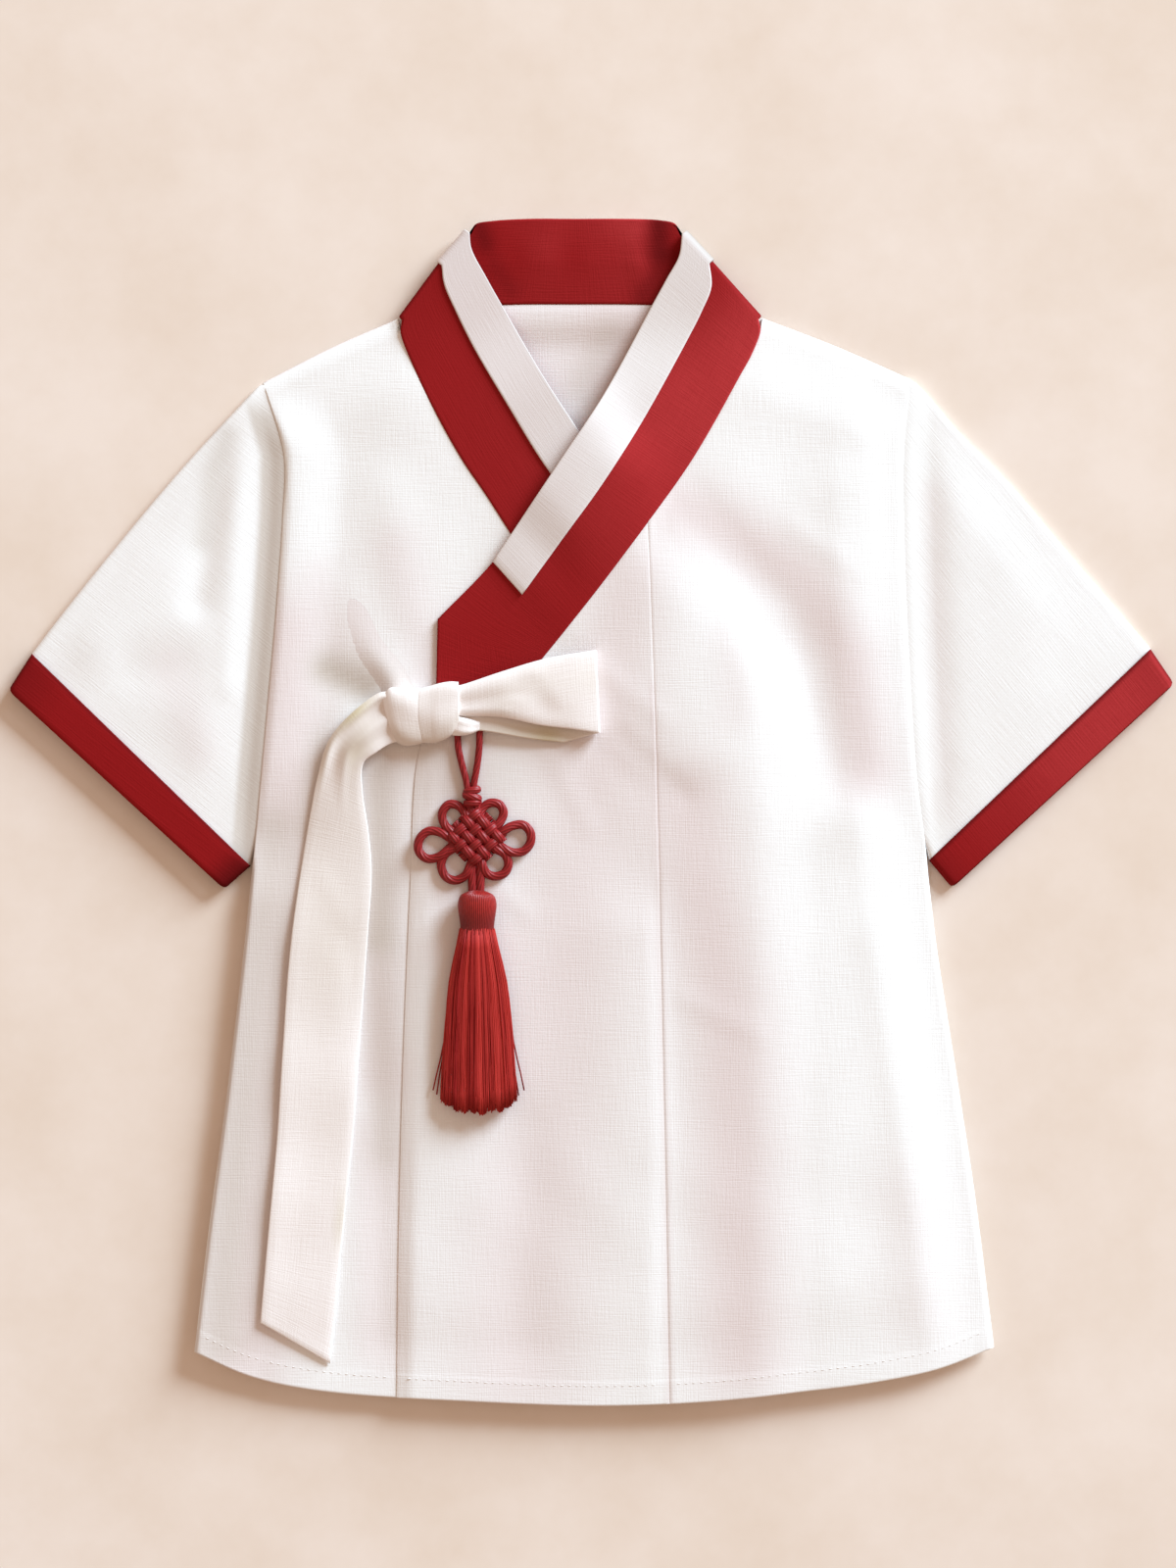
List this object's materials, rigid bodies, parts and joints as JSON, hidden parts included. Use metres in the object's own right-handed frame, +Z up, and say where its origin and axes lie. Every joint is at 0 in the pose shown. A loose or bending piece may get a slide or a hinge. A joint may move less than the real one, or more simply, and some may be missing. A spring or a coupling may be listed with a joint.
{
  "type": "child's short-sleeved jeogori laid flat with a norigae pendant",
  "caption": "Short-sleeved crossover cotton-linen jacket laid flat, with red collar and cuffs, tied with a half bow that carries a knotted tassel pendant.",
  "frame": {"origin": "middle of the base, under the back panel", "axes": "+Z up, away from the surface it lies on; +Y towards the neck; +X towards the wearer's left"},
  "size_m": [0.5508, 0.56, 0.0172],
  "materials": {
    "ivory_cloth": "plain woven cotton and linen, washed and pressed",
    "red_cloth": "plain woven ramie and cotton, piece dyed red, pressed",
    "edging_cloth": "fine white cotton, starched and pressed",
    "tie_cloth": "soft cream cotton, doubled and turned",
    "red_cord": "braided red silk cord",
    "red_silk_floss": "twisted red silk floss"
  },
  "bodies": {
    "root": {"back": "ivory_cloth", "right_front": "ivory_cloth", "left_front": "ivory_cloth", "overlap_gore": "ivory_cloth", "right_sleeve": "ivory_cloth", "left_sleeve": "ivory_cloth", "right_cuff": "red_cloth", "left_cuff": "red_cloth", "collar": "red_cloth", "collar_edging": "edging_cloth", "short_tie": "tie_cloth", "tie_knot": "tie_cloth", "tie_bow_loop": "tie_cloth", "tie_long_tail": "tie_cloth", "pendant_cord": "red_cord", "pendant_top_knot": "red_cord", "pendant_knot": "red_cord", "pendant_tassel": "red_silk_floss"}
  },
  "joints": []
}
